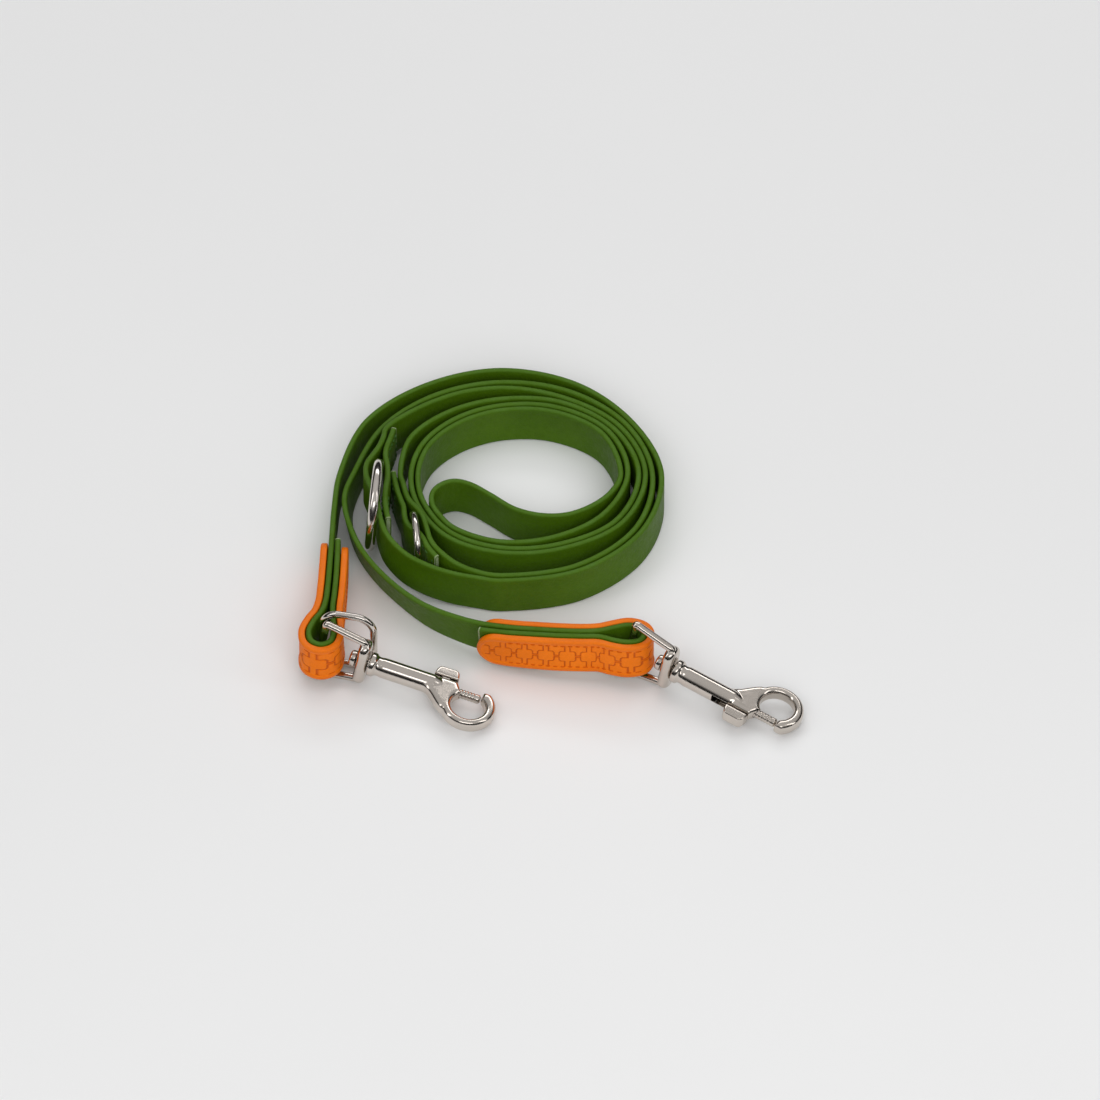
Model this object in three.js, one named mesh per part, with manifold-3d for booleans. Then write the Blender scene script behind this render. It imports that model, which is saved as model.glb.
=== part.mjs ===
// A training leash: one long flat strap, doubled and coiled on its edge, with a swivel bolt snap in an orange tab on
// each end and three rings along it. Millimetres, +Z up, the ground at Z = 0. Viewed from above, +X is to the right.
import * as THREE from 'three';
import { mergeVertices } from 'three/addons/utils/BufferGeometryUtils.js';
import Module from 'manifold-3d';

const wasm = await Module();
wasm.setup();

// ---- driving dimensions ----

const STRAP_WIDTH = 15;
const STRAP_THICK = 1.9;
const TAB_WIDTH = 14.2;
const TAB_THICK = 2.4;
const GAP = 0.3; // between pieces that lie against each other
const TAB_REACH = 60; // half a tab's length, from the tip of its fold
const TAB_END_STEPS = 5; // along each round end

// The coil's outermost layer follows an ellipse.
const COIL = { x: -17.2, y: -2.05, halfX: 56.6, halfY: 51.6 };

const LARGE_RING = { centre: [-60.4, -18.9, 16], outer: 32, wire: 3.5, axis: [0.994, -0.076, -0.076] };
const SMALL_RING = { centre: [-46.2, -34.2, 12.5], outer: 22.5, wire: 2.5, axis: [0.993, 0.117, 0] };
const END_RING = { centre: [-68.9, -81.07, 12.85], wide: 20.5, tall: 25.5, wire: 2.5, corner: 7.5, heading: -12 };

// Where each snap's eye bar stands, which way the snap points, and how far its body is turned on the swivel.
const SNAP_PITCH = 9.4; // degrees down from the eye to the hook
const EYE_HEIGHT = 13.3; // of the middle of the eye's bar above the ground
const LEFT_SNAP = { at: [-77.95, -85.1], heading: -16.6, turn: 180 };
const RIGHT_SNAP = { at: [27.6, -84.8], heading: -29.3, turn: 0 };

// The whole leash is set so that its bounding box is centred on the origin.
const PLACE = [-0.35, 33.2, 0];

// ---- materials ----

const GREEN = new THREE.MeshStandardMaterial({ color: 0x3f6a12, roughness: 0.6, metalness: 0 });
const ORANGE = new THREE.MeshStandardMaterial({ color: 0xe8730f, roughness: 0.6, metalness: 0 });
const NICKEL = { color: 0xd8d4cc, roughness: 0.18, metalness: 1 };
const SPRING_STEEL = { color: 0x9a9a9c, roughness: 0.35, metalness: 1 };

const nickel = () => new THREE.MeshStandardMaterial(NICKEL);

// ---- the strap's route ----

// Rows are [x, y, lift, lean]: the middle of the strap's lower edge, its height above the ground, and how many degrees
// its top leans to the left of the way along it. Where it isn't coiled the rows are chosen by hand.

const LEFT_END = [
  [-72.7, -35, 0.9, 0], [-72.9, -45, 1.7, 0], [-73.2, -54.5, 2.5, 0], [-73.7, -64, 3.6, 0],
  [-74.2, -71, 4.4, 0], [-74, -77.2, 5, 0], [-73.7, -83.3, 5.2, 0], [-75, -88.3, 5.2, 0],
  [-78.2, -89.8, 5.2, 0], [-81.4, -87.9, 5.2, 0], [-82.2, -83.3, 5.2, 0], [-80.5, -78.3, 5.1, 0],
  [-78, -73.5, 4.7, 0], [-76.6, -67.5, 4, 0], [-76, -60, 3.1, 0], [-75.5, -50, 2.1, 0], [-75.1, -40, 1.3, 0],
  [-74.7, -30, 0.6, 0], [-74.1, -18, 0.1, 0],
];

const LARGE_RING_RUN = [
  [-24.6, -53, 0.3, 0], [-33, -51.5, 0.9, 0], [-41.2, -49, 2, 0], [-49.6, -44.6, 3.7, 0],
  [-55.6, -37.8, 5.6, 0], [-58, -31.5, 6.7, 0], [-58.9, -26, 7.2, 0], [-60, -20.5, 7.3, 0],
  [-61.7, -15, 7.3, 0], [-63.2, -9.5, 7.1, 0], [-63, -4, 6.7, 0], [-61, 1, 6.1, 0], [-58.9, 6, 5.3, 0],
  [-57.4, 11.5, 4.4, 0], [-56.3, 17, 3.5, 0],
];

const HAIRPIN_RUN = [
  [-38.1, -22, 0, 0], [-40.6, -16.2, 0, 0], [-40.2, -10.9, 0, 0], [-37.4, -7.3, 0, 0], [-32.8, -5.6, 0, 0],
  [-27.5, -7.2, 0, 0], [-20.7, -12.3, 0, 0], [-12.2, -19.2, 0, 0], [-3.2, -22.3, 0, 0], [5.8, -22, 0, 0],
  [14.6, -17.6, 0, 0], [21.3, -10.6, 0, 0],
];

const SMALL_RING_RUN = [
  [-50.6, -7.5, 1, 0], [-49.8, -12, 1.6, 0], [-48.9, -15.9, 2.2, 0], [-47.4, -19.4, 2.9, 0],
  [-45.5, -22.6, 3.5, 0], [-43.9, -26, 4, 0], [-42.9, -30, 4.4, 0], [-42, -34.5, 4.5, 0],
  [-41.1, -38.3, 4.4, 0], [-39.5, -41.3, 4, 0], [-36.9, -44, 3.2, 0], [-32.4, -47.4, 1.9, 0],
  [-25.7, -50, 0.6, 0],
];

const RIGHT_END = [
  [-68.7, -13.5, 0, -8], [-65.7, -27.2, 0, -12], [-59.9, -39.4, 0, -16], [-50.3, -52.6, 0.2, -18],
  [-40.9, -62.7, 0.6, -16], [-31.4, -69.6, 1.1, -12], [-22.6, -74.6, 1.8, -8], [-13.8, -78.3, 2.8, -4],
  [-5, -80.8, 3.7, -1], [3.4, -82.4, 4.4, 0], [11, -83.2, 4.9, 0], [17.2, -83, 5.1, 0], [22, -81.7, 5.2, 0],
  [27, -80.6, 5.2, 0], [30.9, -82, 5.2, 0], [32.1, -84.7, 5.2, 0], [30.8, -87.6, 5.2, 0], [26.4, -88.7, 5.2, 0],
  [21.6, -87.7, 5.2, 0], [17, -86, 5.1, 0], [11, -85.6, 4.9, 0], [3.2, -84.8, 4.4, 0], [-5.6, -83.2, 3.7, 1],
  [-14.7, -80.8, 2.8, 4], [-23.5, -77.4, 1.8, 8],
];

// The patches that hold the two rings in the strap: second layers of strap, each sewn to it at both its ends.
const LARGE_RING_PATCH = [
  [-53.9, 16.4, 3.5, 0], [-55, 11, 4.4, 0], [-56.2, 5.8, 5.3, 0], [-56.6, 0.8, 6.1, 0], [-56, -4.5, 6.7, 0],
  [-55.8, -10, 7.1, 0], [-56.4, -16, 7.3, 0], [-56.6, -22, 7.3, 0], [-56.2, -27, 7.1, 0], [-55.4, -31, 6.8, 0],
];

const SMALL_RING_PATCH = [
  [-54, -1.6, 0.3, 0], [-53.2, -7.8, 1, 0], [-52.3, -12.6, 1.6, 0], [-51.3, -16.9, 2.2, 0],
  [-50.3, -21, 2.9, 0], [-50, -25.5, 3.6, 0], [-49.3, -29.5, 4.2, 0], [-47.6, -32.8, 4.5, 0],
  [-45.2, -35.4, 4.8, 0], [-43.5, -38.4, 4.9, 0], [-41.7, -42.3, 4.4, 0], [-38.6, -46.1, 3.2, 0],
];

// Rows of a coiled stretch, every 30 degrees: it starts at the given twelfth of a turn (0 is +X, 3 is +Y) and goes
// round the given way (1 or -1). Depths are how far in from the coil's outside the strap's outer face is.
function coiled(twelfth, way, depths) {
  return depths.map((depth, step) => {
    const angle = (twelfth + way * step) * Math.PI / 6;
    const radius = 1 / Math.hypot(Math.cos(angle) / COIL.halfX, Math.sin(angle) / COIL.halfY);
    const out = radius - depth - STRAP_THICK / 2;
    return [COIL.x + out * Math.cos(angle), COIL.y + out * Math.sin(angle), 0, 0];
  });
}

// The whole strap, from the end folded in the left tab to the end folded in the right one.
const STRAP_ROWS = [
  ...LEFT_END,
  ...coiled(6, -1, [0.5, 1.5, 1.3, -0.2, 0.6, 2.3, 0.1, -1.9, -2.6, -1.4]),
  ...LARGE_RING_RUN,
  ...coiled(4, -1, [9.6, 8.5, 8.5, 7, 5.6, 6, 9.6, 12.3, 16.1, 22, 25, 23.8, 20.7, 17.2, 13.9, 11.6, 11.7, 13.8, 15.9,
    17.6, 21]),
  ...HAIRPIN_RUN,
  ...coiled(0, 1, [14.1, 14, 16.4, 19.6, 23.1, 26.1, 27.4, 24.4, 18.5, 14.7, 12, 8.4, 7.9, 9.3, 11, 14, 16.6, 18.7,
    21.3]),
  ...SMALL_RING_RUN,
  ...coiled(9, 1, [1.2, 0, 0.7, 3.2, 4.6, 4.9, 5.7, 7.1, 7.8, 5.2]),
  ...RIGHT_END,
];

// ---- curves and ribbons ----

// A row between b and c on a centripetal Catmull-Rom curve, with a and d the rows beyond them.
function rowBetween(a, b, c, d, share) {
  const knot = (p, q) => Math.sqrt(Math.hypot(q[0] - p[0], q[1] - p[1]));
  const t1 = knot(a, b);
  const t2 = t1 + knot(b, c);
  const t3 = t2 + knot(c, d);
  const t = t1 + (t2 - t1) * share;
  const mix = (p, q, from, to) => p.map((value, k) => (value * (to - t) + q[k] * (t - from)) / (to - from));
  const ab = mix(a, b, 0, t1);
  const bc = mix(b, c, t1, t2);
  const cd = mix(c, d, t2, t3);
  return mix(mix(ab, bc, 0, t2), mix(bc, cd, t1, t3), t1, t2);
}

const beyond = (end, next) => end.map((value, k) => 2 * value - next[k]);

// The angle that the route turns through from a to b to c.
function turnAt(a, b, c) {
  const first = Math.atan2(b[1] - a[1], b[0] - a[0]);
  const second = Math.atan2(c[1] - b[1], c[0] - b[0]);
  return Math.abs(Math.atan2(Math.sin(second - first), Math.cos(second - first)));
}

// A smooth route through the rows, with a step for each 5 mm or each 11 degrees, whichever is shorter.
function smooth(rows) {
  const all = [beyond(rows[0], rows[1]), ...rows, beyond(rows.at(-1), rows.at(-2))];
  const route = [];
  for (let i = 1; i < all.length - 2; i += 1) {
    const [a, b, c, d] = all.slice(i - 1, i + 3);
    const length = Math.hypot(c[0] - b[0], c[1] - b[1]);
    const turn = Math.max(turnAt(a, b, c), turnAt(b, c, d));
    const steps = Math.max(1, Math.ceil(length / 5), Math.ceil(turn / (Math.PI / 16)));
    for (let step = 0; step < steps; step += 1) {
      route.push(rowBetween(a, b, c, d, step / steps));
    }
  }
  route.push(rows.at(-1));
  return route;
}

// The level direction to the left of a route at its row i.
function leftOf(route, i) {
  const before = route[Math.max(i - 1, 0)];
  const after = route[Math.min(i + 1, route.length - 1)];
  return new THREE.Vector3(before[1] - after[1], after[0] - before[0], 0).normalize();
}

// A route moved sideways, to the left of the way along it.
function beside(route, distance) {
  return route.map((row, i) => {
    const left = leftOf(route, i);
    return [row[0] + left.x * distance, row[1] + left.y * distance, row[2], row[3]];
  });
}

// A strip on its edge along a route, with its middle where the strap's is.
function ribbon(route, thickness, widthAt = () => STRAP_WIDTH) {
  const positions = [];
  const faces = [];
  route.forEach((row, i) => {
    const left = leftOf(route, i);
    const lean = THREE.MathUtils.degToRad(row[3]);
    const up = new THREE.Vector3(0, 0, Math.cos(lean)).addScaledVector(left, Math.sin(lean));
    const side = left.clone().multiplyScalar(Math.cos(lean)).setZ(-Math.sin(lean));
    const foot = new THREE.Vector3(row[0], row[1], Math.max(row[2], 0) + thickness / 2 * Math.abs(Math.sin(lean)));
    const width = widthAt(i);
    foot.addScaledVector(up, (STRAP_WIDTH - width) / 2);
    for (const [across, high] of [[1, 0], [-1, 0], [-1, 1], [1, 1]]) {
      const corner = foot.clone().addScaledVector(side, across * thickness / 2);
      positions.push(...corner.addScaledVector(up, high * width).toArray());
    }
  });
  for (let i = 0; i < route.length - 1; i += 1) {
    for (let k = 0; k < 4; k += 1) {
      const [a, b] = [4 * i + k, 4 * i + (k + 1) % 4];
      faces.push(a, b + 4, b, a, a + 4, b + 4);
    }
  }
  const last = 4 * (route.length - 1);
  faces.push(0, 1, 2, 0, 2, 3, last, last + 2, last + 1, last, last + 3, last + 2);
  const geometry = new THREE.BufferGeometry();
  geometry.setAttribute('position', new THREE.Float32BufferAttribute(positions, 3));
  geometry.setIndex(faces);
  return geometry;
}

// How far along a route each of its rows is.
function distancesAlong(route) {
  const distances = [0];
  for (let i = 1; i < route.length; i += 1) {
    const step = Math.hypot(route[i][0] - route[i - 1][0], route[i][1] - route[i - 1][1]);
    distances.push(distances[i - 1] + step);
  }
  return distances;
}

// The row at a given distance along a route.
function rowAt(route, distance) {
  const distances = distancesAlong(route);
  const i = Math.min(Math.max(distances.findIndex((d) => d > distance), 1), route.length - 1);
  const share = (distance - distances[i - 1]) / (distances[i] - distances[i - 1]);
  return route[i].map((value, k) => THREE.MathUtils.lerp(route[i - 1][k], value, share));
}

// ---- solids that are cut or joined ----

// A closed mesh as a manifold solid.
function solid(geometry) {
  const bare = geometry.clone();
  for (const name of ['normal', 'uv']) {
    bare.deleteAttribute(name);
  }
  const merged = mergeVertices(bare, 1e-4);
  return new wasm.Manifold(new wasm.Mesh({
    numProp: 3,
    vertProperties: Float32Array.from(merged.attributes.position.array),
    triVerts: Uint32Array.from(merged.index.array),
  }));
}

// A manifold solid as a geometry.
function geometryOf(shape) {
  const mesh = shape.getMesh();
  const geometry = new THREE.BufferGeometry();
  geometry.setAttribute('position', new THREE.Float32BufferAttribute(mesh.vertProperties, 3));
  geometry.setIndex(Array.from(mesh.triVerts));
  return geometry;
}

// A shape turned about the X axis, from [x, radius] pairs.
function turned(profile, sides = 20) {
  const points = profile.map(([x, radius]) => new THREE.Vector2(radius, x));
  return new THREE.LatheGeometry(points, sides).rotateZ(-Math.PI / 2).rotateX(Math.PI / 2);
}

const rod = (from, to, radius, sides = 20) => turned([[from, 0], [from, radius], [to, radius], [to, 0]], sides);

// A plate in the XY plane, centred on Z = 0, with its edges bevelled.
function plate(shape, thickness, bevel) {
  const settings = { depth: thickness - 2 * bevel, bevelSize: bevel, bevelThickness: bevel, bevelOffset: -bevel };
  const geometry = new THREE.ExtrudeGeometry(shape, { ...settings, bevelSegments: 1, curveSegments: 10 });
  return geometry.translate(0, 0, bevel - thickness / 2);
}

function roundedRectangle(halfX, halfY, corner) {
  const shape = new THREE.Shape();
  shape.absarc(halfX - corner, halfY - corner, corner, 0, Math.PI / 2);
  shape.absarc(corner - halfX, halfY - corner, corner, Math.PI / 2, Math.PI);
  shape.absarc(corner - halfX, corner - halfY, corner, Math.PI, 1.5 * Math.PI);
  shape.absarc(halfX - corner, corner - halfY, corner, 1.5 * Math.PI, 2 * Math.PI);
  return shape;
}

function box(low, high) {
  const size = high.map((value, k) => value - low[k]);
  const middle = high.map((value, k) => (value + low[k]) / 2);
  return new THREE.BoxGeometry(...size).translate(...middle);
}

// ---- a swivel bolt snap, with +X along its barrel and its eye's bar on the Z axis ----

const EYE = { deep: 2.8, bar: 2.6, halfBack: 13, halfFront: 10.6, front: 16.4 };
const COLLAR = { from: 12.9, to: 17, halfWide: 4, halfTall: 9.4 };
const STUD = { head: 2.9, from: 10.3, neck: 12.6, end: 22.2, radius: 1.25 };
const FLANGE = { from: 17.4, to: 20, radius: 4.2 };
const BARREL = { to: 41.4, radius: 3.55, bore: 2.1, boreFrom: 22.6, studBore: 1.6 };
const HOOK = { x: 54.4, y: 5.1, outer: 9.5, hole: 5.9, thick: 5, mouthFrom: 48.2, mouthTo: 57.6 };
const BOLT = { radius: 1.6, shoulder: 1.8, from: 36.3, neck: 39, tip: 57.3 };
const SLOT = { from: 33.6, to: 47.6, half: 1.4 };
const KNOB = { from: 39.4, to: 48.2, near: 3.9, far: 7.9, thick: 4.6 };
const SPRING = { from: 23, to: 36, coils: 7, radius: 1.55, wire: 0.26 };

// The eye: a frame round the strap's fold, with a collar plate that the swivel's stud turns in.
function eyeGeometry() {
  const outer = new THREE.Shape();
  outer.moveTo(-EYE.bar / 2, -EYE.halfBack + 2).quadraticCurveTo(-EYE.bar / 2, -EYE.halfBack, 1, -EYE.halfBack);
  outer.lineTo(EYE.front - 3, -EYE.halfFront).quadraticCurveTo(EYE.front, -EYE.halfFront + 0.4, EYE.front, -8);
  outer.lineTo(EYE.front, 8).quadraticCurveTo(EYE.front, EYE.halfFront - 0.4, EYE.front - 3, EYE.halfFront);
  outer.lineTo(1, EYE.halfBack).quadraticCurveTo(-EYE.bar / 2, EYE.halfBack, -EYE.bar / 2, EYE.halfBack - 2);
  outer.closePath();
  const opening = new THREE.Path();
  const [low, high] = [EYE.halfFront - EYE.bar, EYE.halfBack - EYE.bar];
  opening.moveTo(EYE.bar / 2, -high).lineTo(EYE.front - EYE.bar, -low).lineTo(EYE.front - EYE.bar, low);
  opening.lineTo(EYE.bar / 2, high).closePath();
  outer.holes.push(opening);
  const frame = solid(plate(outer, EYE.deep, 0.6).rotateX(Math.PI / 2));
  const collar = solid(plate(roundedRectangle(COLLAR.halfTall, COLLAR.halfWide, 1.6), COLLAR.to - COLLAR.from, 0.6)
    .rotateY(Math.PI / 2).translate((COLLAR.from + COLLAR.to) / 2, 0, 0));
  return geometryOf(frame.add(collar).subtract(solid(rod(COLLAR.from - 1, COLLAR.to + 1, BARREL.studBore))));
}

// The stud: a rivet head inside the eye and a shaft through the collar into the barrel.
function studGeometry() {
  return turned([
    [STUD.from, 0], [STUD.from + 0.3, STUD.head * 0.6], [STUD.from + 1.1, STUD.head * 0.95],
    [STUD.neck, STUD.head], [STUD.neck, STUD.radius], [STUD.end, STUD.radius], [STUD.end, 0],
  ]);
}

// The hook's outline: a fan out of the barrel, then a round hook whose mouth the bolt closes.
function hookOutline() {
  const outline = new THREE.Shape();
  outline.moveTo(BARREL.to - 5, 3.2).bezierCurveTo(BARREL.to - 1, 3.4, BARREL.to + 0.5, 8.2, HOOK.x - 8, HOOK.y + 5.7);
  const nose = HOOK.mouthTo - HOOK.x;
  outline.absarc(HOOK.x, HOOK.y, HOOK.outer, Math.PI - 0.62, -Math.asin((HOOK.y + 2.4) / HOOK.outer), true);
  outline.lineTo(HOOK.mouthTo, -2.4);
  outline.absarc(HOOK.x, HOOK.y + 0.5, HOOK.hole, -Math.acos(nose / HOOK.hole), Math.PI + 0.98, false);
  outline.lineTo(HOOK.mouthFrom, -3.2).lineTo(BARREL.to - 5, -3.2);
  return outline;
}

// The body: flange, barrel and hook in one casting, bored for the stud, the spring and the bolt, and slotted for the
// knob's stem.
function bodyGeometry() {
  const outside = turned([
    [FLANGE.from, 0], [FLANGE.from, FLANGE.radius], [FLANGE.to, FLANGE.radius], [FLANGE.to + 0.8, BARREL.radius],
    [BARREL.to - 1, BARREL.radius], [BARREL.to + 2, BARREL.radius - 1], [BARREL.to + 2, 0],
  ], 24);
  const bores = [
    rod(FLANGE.from - 1, BARREL.boreFrom + 1, BARREL.studBore, 16),
    rod(BARREL.boreFrom, HOOK.x - 2, BARREL.bore, 16),
    box([SLOT.from, -8, -SLOT.half], [SLOT.to, 0, SLOT.half]),
  ];
  let body = solid(outside).add(solid(plate(hookOutline(), HOOK.thick, 0.8)));
  for (const bore of bores) {
    body = body.subtract(solid(bore));
  }
  return geometryOf(body);
}

// The bolt that closes the hook's mouth: a shoulder that the spring pushes on, and a rod out to the hook's nose.
function boltGeometry() {
  return turned([
    [BOLT.from, 0], [BOLT.from, BOLT.shoulder], [BOLT.neck, BOLT.shoulder], [BOLT.neck + 0.4, BOLT.radius],
    [BOLT.tip - 0.6, BOLT.radius], [BOLT.tip, BOLT.radius - 0.6], [BOLT.tip, 0],
  ], 16);
}

// The thumb knob: a round-topped grip outside the slot, on a stem that reaches in to the bolt.
function knobGeometry() {
  const { from, to, near, far } = KNOB;
  const grip = new THREE.Shape();
  grip.moveTo(from, -near).lineTo(from + 0.4, 1.5 - far).lineTo(from + 0.9, 0.5 - far).lineTo(from + 1.9, -far);
  grip.lineTo(to - 1.9, -far).lineTo(to - 0.9, 0.5 - far).lineTo(to - 0.4, 1.5 - far).lineTo(to, -near).closePath();
  const middle = (from + to) / 2;
  const stem = box([middle - 1.3, -near - 1, 0.3 - SLOT.half], [middle + 1.3, -BOLT.shoulder - 0.2, SLOT.half - 0.3]);
  return geometryOf(solid(plate(grip, KNOB.thick, 0.6)).add(solid(stem)));
}

// The spring behind the bolt's shoulder.
class Helix extends THREE.Curve {
  getPoint(t) {
    const angle = 2 * Math.PI * SPRING.coils * t;
    const along = THREE.MathUtils.lerp(SPRING.from + SPRING.wire, SPRING.to - SPRING.wire, t);
    return new THREE.Vector3(along, SPRING.radius * Math.cos(angle), SPRING.radius * Math.sin(angle));
  }
}

function springGeometry() {
  const wire = new THREE.Shape();
  wire.absarc(0, 0, SPRING.wire, 0, 2 * Math.PI);
  const settings = { extrudePath: new Helix(), steps: SPRING.coils * 12, curveSegments: 3, bevelEnabled: false };
  return new THREE.ExtrudeGeometry(wire, settings);
}

// ---- the assembly ----

const leash = new THREE.Group();
leash.position.set(...PLACE);

function addPiece(parent, name, geometry, material) {
  const mesh = new THREE.Mesh(geometry, material);
  mesh.name = name;
  parent.add(mesh);
  return mesh;
}

// A tab: the orange sleeve that is folded round the outside of one of the strap's end folds. Both its ends are round.
function addTab(name, end, farther) {
  const inner = smooth(end);
  const distances = distancesAlong(inner);
  const tip = inner.reduce((best, row, i) => (farther(row) > farther(inner[best]) ? i : best), 0);
  const start = Math.max(distances[tip] - TAB_REACH, 0);
  const stop = Math.min(distances[tip] + TAB_REACH, distances.at(-1));
  const stops = [];
  for (let step = 0; step <= TAB_END_STEPS; step += 1) {
    stops.push(TAB_WIDTH / 2 * (1 - Math.cos(step / TAB_END_STEPS * Math.PI / 2)) + 0.15);
  }
  const between = distances.filter((d) => d > start + stops.at(-1) + 0.5 && d < stop - stops.at(-1) - 0.5);
  const cuts = [...stops.map((d) => start + d), ...between, ...stops.map((d) => stop - d).reverse()];
  const route = beside(cuts.map((d) => rowAt(inner, d)), STRAP_THICK / 2 + GAP + TAB_THICK / 2);
  const widthAt = (i) => {
    const fromEnd = Math.min(cuts[i] - start, stop - cuts[i], TAB_WIDTH / 2);
    return TAB_WIDTH * Math.sqrt(1 - (1 - fromEnd / (TAB_WIDTH / 2)) ** 2);
  };
  addPiece(leash, name, ribbon(route, TAB_THICK, widthAt), ORANGE.clone());
}

function addRing(name, ring) {
  const mesh = addPiece(leash, name, new THREE.TorusGeometry((ring.outer - ring.wire) / 2, ring.wire / 2, 12, 36),
    nickel());
  mesh.position.set(...ring.centre);
  mesh.quaternion.setFromUnitVectors(new THREE.Vector3(0, 0, 1), new THREE.Vector3(...ring.axis).normalize());
}

// The ring in the left end's loop is an upright oval.
function addEndRing(name, { centre, wide, tall, wire, corner, heading }) {
  const outline = roundedRectangle(wide / 2, tall / 2, corner);
  outline.holes.push(roundedRectangle(wide / 2 - wire, tall / 2 - wire, corner - wire));
  const ring = plate(outline, wire, 0.7).rotateX(Math.PI / 2).rotateZ(THREE.MathUtils.degToRad(heading));
  addPiece(leash, name, ring, nickel()).position.set(...centre);
}

function addSnap(side, { at, heading, turn }) {
  const snap = new THREE.Group();
  snap.position.set(...at, EYE_HEIGHT);
  snap.rotation.set(0, THREE.MathUtils.degToRad(SNAP_PITCH), THREE.MathUtils.degToRad(heading), 'ZYX');
  leash.add(snap);
  addPiece(snap, `${side}_snap_eye`, eyeGeometry(), nickel());
  const swivelled = new THREE.Group();
  swivelled.rotation.x = THREE.MathUtils.degToRad(turn);
  snap.add(swivelled);
  addPiece(swivelled, `${side}_snap_stud`, studGeometry(), nickel());
  addPiece(swivelled, `${side}_snap_body`, bodyGeometry(), nickel());
  addPiece(swivelled, `${side}_snap_bolt`, boltGeometry(), nickel());
  addPiece(swivelled, `${side}_snap_knob`, knobGeometry(), nickel());
  addPiece(swivelled, `${side}_snap_spring`, springGeometry(), new THREE.MeshStandardMaterial(SPRING_STEEL));
}

addPiece(leash, 'strap', ribbon(smooth(STRAP_ROWS), STRAP_THICK), GREEN.clone());
addPiece(leash, 'large_ring_patch', ribbon(smooth(LARGE_RING_PATCH), STRAP_THICK), GREEN.clone());
addPiece(leash, 'small_ring_patch', ribbon(smooth(SMALL_RING_PATCH), STRAP_THICK), GREEN.clone());
addTab('left_tab', LEFT_END, (row) => -row[1]);
addTab('right_tab', RIGHT_END, (row) => row[0]);
addRing('large_ring', LARGE_RING);
addRing('small_ring', SMALL_RING);
addEndRing('end_ring', END_RING);
addSnap('left', LEFT_SNAP);
addSnap('right', RIGHT_SNAP);

export default leash;
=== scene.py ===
import math

import bmesh
import bpy
import numpy as np
from mathutils import Matrix, Vector, noise


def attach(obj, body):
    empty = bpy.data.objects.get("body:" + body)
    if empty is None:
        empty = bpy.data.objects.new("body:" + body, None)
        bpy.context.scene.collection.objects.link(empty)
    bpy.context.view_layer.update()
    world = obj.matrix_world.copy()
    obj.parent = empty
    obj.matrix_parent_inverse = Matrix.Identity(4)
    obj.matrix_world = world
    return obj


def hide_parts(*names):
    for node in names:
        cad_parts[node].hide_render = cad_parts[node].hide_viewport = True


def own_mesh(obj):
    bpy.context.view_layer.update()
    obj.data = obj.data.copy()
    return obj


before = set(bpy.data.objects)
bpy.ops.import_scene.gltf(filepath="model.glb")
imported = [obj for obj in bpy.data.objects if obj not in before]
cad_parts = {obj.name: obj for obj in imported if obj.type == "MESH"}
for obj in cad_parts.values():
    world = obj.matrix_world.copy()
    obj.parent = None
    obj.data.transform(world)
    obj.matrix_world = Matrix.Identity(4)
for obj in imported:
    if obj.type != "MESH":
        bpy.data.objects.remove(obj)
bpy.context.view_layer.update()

MM = 0.001


def added(name, data):
    """A new object in the scene."""
    thing = bpy.data.objects.new(name, data)
    bpy.context.scene.collection.objects.link(thing)
    return thing


# ---- driving dimensions, in millimetres until a piece is placed ----

STRAP_WIDTH = 15.0
STRAP_THICK = 1.9
STRAP_EDGE = 0.75  # radius of the strap's rounded edges
STRAP_UNEVEN = 0.025  # share by which its thickness wanders
STRAP_WANDER = 0.22  # how often it does, per millimetre
CUT_REACH = 0.45  # of the pale rim where the strap is cut
CORE_RINGS = ((0.30, 0.0), (0.34, 0.12))  # share drawn in, and how deep, at a cut end
TAB_WIDTH = 14.2
TAB_THICK = 2.4
GAP = 0.3  # between the strap and what lies on it
TAB_REACH = 60.0  # each way from the fold's tip, at most
COIL = {"x": -17.2, "y": -2.05, "half_x": 56.6, "half_y": 51.6}
PLACE = (-0.35, 33.2)  # from the route's own origin to the frame's

# ---- camera ----

VIEW_WIDTH = 0.3784  # metres across the picture
VIEW_ELEVATION = math.radians(45)
VIEW_AIM = -24.9  # depth of the picture's centre, from the route's own origin
VIEW_TARGET = Vector((PLACE[0], PLACE[1] + VIEW_AIM, 0)) * MM
VIEW_DISTANCE = 6.0  # metres: far off, with a long lens
VIEW_CLIP = 20


def make_camera():
    data = bpy.data.cameras.new("camera")
    data.lens = data.sensor_width * VIEW_DISTANCE / VIEW_WIDTH
    data.clip_end = VIEW_CLIP
    camera = added("camera", data)
    back = Vector((0, -math.cos(VIEW_ELEVATION), math.sin(VIEW_ELEVATION)))
    camera.location = VIEW_TARGET + back * VIEW_DISTANCE
    camera.rotation_euler = (math.pi / 2 - VIEW_ELEVATION, 0, 0)
    bpy.context.scene.camera = camera


# ---- the strap's route: rows of x, y, lift and lean, as in the CAD model ----

LEFT_END = [
    [-72.7, -35, 0.9, 0], [-72.9, -45, 1.7, 0], [-73.2, -54.5, 2.5, 0], [-73.7, -64, 3.6, 0],
    [-74.2, -71, 4.4, 0], [-74, -77.2, 5, 0], [-73.7, -83.3, 5.2, 0], [-75, -88.3, 5.2, 0],
    [-78.2, -89.8, 5.2, 0], [-81.4, -87.9, 5.2, 0], [-82.2, -83.3, 5.2, 0], [-80.5, -78.3, 5.1, 0],
    [-78, -73.5, 4.7, 0], [-76.6, -67.5, 4, 0], [-76, -60, 3.1, 0], [-75.5, -50, 2.1, 0],
    [-75.1, -40, 1.3, 0], [-74.7, -30, 0.6, 0], [-74.1, -18, 0.1, 0],
]

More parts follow.
